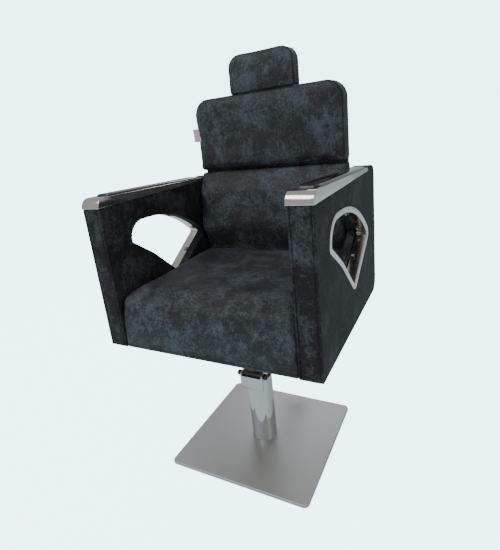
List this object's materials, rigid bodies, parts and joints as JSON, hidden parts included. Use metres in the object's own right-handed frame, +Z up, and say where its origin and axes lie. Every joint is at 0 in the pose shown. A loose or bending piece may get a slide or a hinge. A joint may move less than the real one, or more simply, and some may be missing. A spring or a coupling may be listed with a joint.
{
  "type": "styling chair",
  "caption": "Hydraulic salon styling chair: square steel base, chrome pump, box seat between upholstered arm panels with cut-outs, reclining split back and sliding headrest.",
  "frame": {"origin": "on the floor, on the pump's axis, at the centre of the base's underside", "axes": "+Z up along the pump, the chair faces -Y, +X is on the right seen from the front"},
  "size_m": [0.622, 0.6155, 1.203],
  "materials": {
    "satin_steel": "satin brushed stainless sheet",
    "plate_steel": "matt primer",
    "rubber": "matt black rubber",
    "zinc_fasteners": "zinc plated",
    "pump_iron": "machined cast iron",
    "chrome": "bright chrome plate",
    "cap_steel": "polished stainless sheet",
    "black_paint": "black powder coat",
    "bronze": "bearing bronze",
    "black_plastic": "black moulded plastic",
    "spring_steel": "ground steel",
    "plywood": "raw plywood",
    "seat_upholstery": "mottled suede-look leatherette, charcoal with blue-grey patches",
    "arm_upholstery": "mottled suede-look leatherette, charcoal",
    "back_upholstery": "mottled suede-look leatherette, charcoal with blue-grey patches",
    "rear_upholstery": "plain black leatherette",
    "gloss_black": "gloss black lacquer with bevelled edge",
    "clip_steel": "blackened spring steel",
    "tag_fabric": "woven ribbon"
  },
  "bodies": {
    "base": {"base_mat": "rubber", "base_plate": "plate_steel", "base_cover": "satin_steel", "base_screws": "zinc_fasteners", "pump_body": "pump_iron", "pump_cover": "chrome", "pump_head": "black_paint", "guide_bush": "bronze", "wiper_seal": "rubber", "lever_pin": "zinc_fasteners", "lever_pin_caps": "black_plastic", "plunger_spring": "spring_steel"},
    "foot_lever": {"pump_lever": "chrome", "pedal_grip": "rubber"},
    "plunger": {"pump_plunger": "spring_steel"},
    "lift": {"piston": "spring_steel", "piston_seals": "rubber", "thrust_washer": "bronze"},
    "seat": {"ram": "chrome", "seat_bracket": "black_paint", "bracket_bolts": "zinc_fasteners", "seat_board": "plywood", "seat_cushion": "seat_upholstery", "arm_frame_left": "plywood", "arm_frame_right": "plywood", "arm_cover_left": "arm_upholstery", "arm_cover_right": "arm_upholstery", "arm_cap_left": "cap_steel", "arm_cap_right": "cap_steel", "arm_pad_left": "gloss_black", "arm_pad_right": "gloss_black", "trim_ring_left": "cap_steel", "trim_ring_right": "cap_steel", "ring_clips_left": "clip_steel", "ring_clips_right": "clip_steel", "arm_bolts": "zinc_fasteners", "hinge_brackets": "black_paint", "hinge_pins": "zinc_fasteners", "bracket_screws": "zinc_fasteners"},
    "back": {"hinge_arms": "black_paint", "hinge_arm_screws": "zinc_fasteners", "back_board": "plywood", "lower_back_cushion": "back_upholstery", "upper_back_cushion": "back_upholstery", "rear_cover": "rear_upholstery", "headrest_guides": "zinc_fasteners", "guide_collars": "black_plastic", "label_tag": "tag_fabric"},
    "headrest": {"headrest_rods": "chrome", "headrest_board": "plywood", "rod_clamps": "zinc_fasteners", "headrest_cushion": "back_upholstery"}
  },
  "joints": [
    {"name": "height_slide", "type": "slide", "parent": "base", "child": "lift", "axis": [0, 0, 1], "range_m": [-0.12, 0.02]},
    {"name": "seat_swivel", "type": "hinge", "parent": "lift", "child": "seat", "pos_m": [0, 0, 0.17], "axis": [0, 0, 1], "continuous": true},
    {"name": "lever_press", "type": "hinge", "parent": "base", "child": "foot_lever", "pos_m": [0, -0.042, 0.258], "axis": [-1, 0, 0], "range_deg": [0, 12], "stiffness_Nm_per_rad": 12, "springref_deg": -34.38},
    {"name": "plunger_slide", "type": "slide", "parent": "base", "child": "plunger", "axis": [0, 0, -1], "range_m": [0, 0.0168], "deforming": ["plunger_spring"]},
    {"name": "back_recline", "type": "hinge", "parent": "seat", "child": "back", "pos_m": [0, 0.215, 0.505], "axis": [-1, 0, 0], "range_deg": [0, 35]},
    {"name": "headrest_slide", "type": "slide", "parent": "back", "child": "headrest", "axis": [0, 0, 1], "range_m": [0, 0.07]}
  ],
  "couplings": [
    {"joint": "plunger_slide", "follows": "lever_press", "m_per_rad": 0.077}
  ]
}
